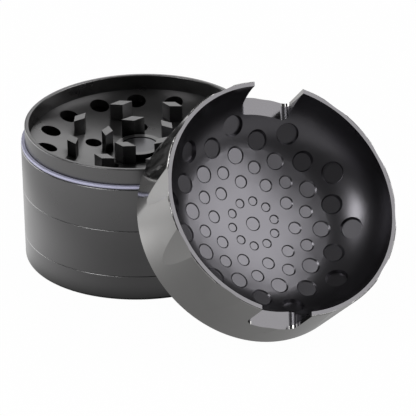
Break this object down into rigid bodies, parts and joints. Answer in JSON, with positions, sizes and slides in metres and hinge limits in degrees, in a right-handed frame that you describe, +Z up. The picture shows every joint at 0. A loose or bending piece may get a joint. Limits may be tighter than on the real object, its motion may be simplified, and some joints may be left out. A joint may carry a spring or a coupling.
{
  "type": "herb grinder",
  "caption": "Round hand herb grinder of screwed metal sections with a sieve and a catcher cup, its dimpled dish lid taken off and leaning on the body.",
  "frame": {"origin": "centre of the catcher cup's flat bottom, where the stack stands", "axes": "+Z up along the stack's axis, -Y towards the side where the lid leans, +X to the right seen from there"},
  "size_m": [0.0978, 0.1066, 0.0613],
  "materials": {
    "dark_metal": "satin black",
    "gloss_metal": "glossy black nickel",
    "lavender_polymer": "satin",
    "magnet_metal": "plated",
    "mesh_steel": "woven wire",
    "ring_steel": "satin"
  },
  "bodies": {
    "cup": {"catcher_cup": "dark_metal"},
    "screen_clamp": {"screen_retaining_ring": "ring_steel"},
    "sieve": {"sieve_chamber": "dark_metal", "sieve_screen": "mesh_steel"},
    "slip_ring": {"friction_ring": "lavender_polymer"},
    "grinder": {"grinding_chamber": "dark_metal", "chamber_magnet": "magnet_metal"},
    "lid_core": {"lid_magnet": "magnet_metal"},
    "lid_shell": {"lid": "gloss_metal"}
  },
  "joints": [
    {"name": "sieve_rise", "type": "slide", "parent": "cup", "child": "screen_clamp", "axis": [0, 0, 1], "range_m": [0, 0.0041]},
    {"name": "sieve_turn", "type": "hinge", "parent": "screen_clamp", "child": "sieve", "pos_m": [0, 0, 0], "axis": [0, 0, 1], "range_deg": [0, 720]},
    {"name": "chamber_rise", "type": "slide", "parent": "sieve", "child": "slip_ring", "axis": [0, 0, 1], "range_m": [0, 0.0041]},
    {"name": "chamber_turn", "type": "hinge", "parent": "slip_ring", "child": "grinder", "pos_m": [0, 0, 0], "axis": [0, 0, 1], "range_deg": [0, 720]},
    {"name": "lid_lift", "type": "slide", "parent": "slip_ring", "child": "lid_core", "axis": [0.4086, -0.608, 0.6807], "range_m": [0, 0.03]},
    {"name": "lid_turn", "type": "hinge", "parent": "lid_core", "child": "lid_shell", "pos_m": [0.02833, -0.03643, 0.02307], "axis": [0.4086, -0.608, 0.6807], "continuous": true}
  ],
  "couplings": [
    {"joint": "sieve_rise", "follows": "sieve_turn", "m_per_rad": 0.00031831},
    {"joint": "chamber_rise", "follows": "chamber_turn", "m_per_rad": 0.00031831}
  ]
}
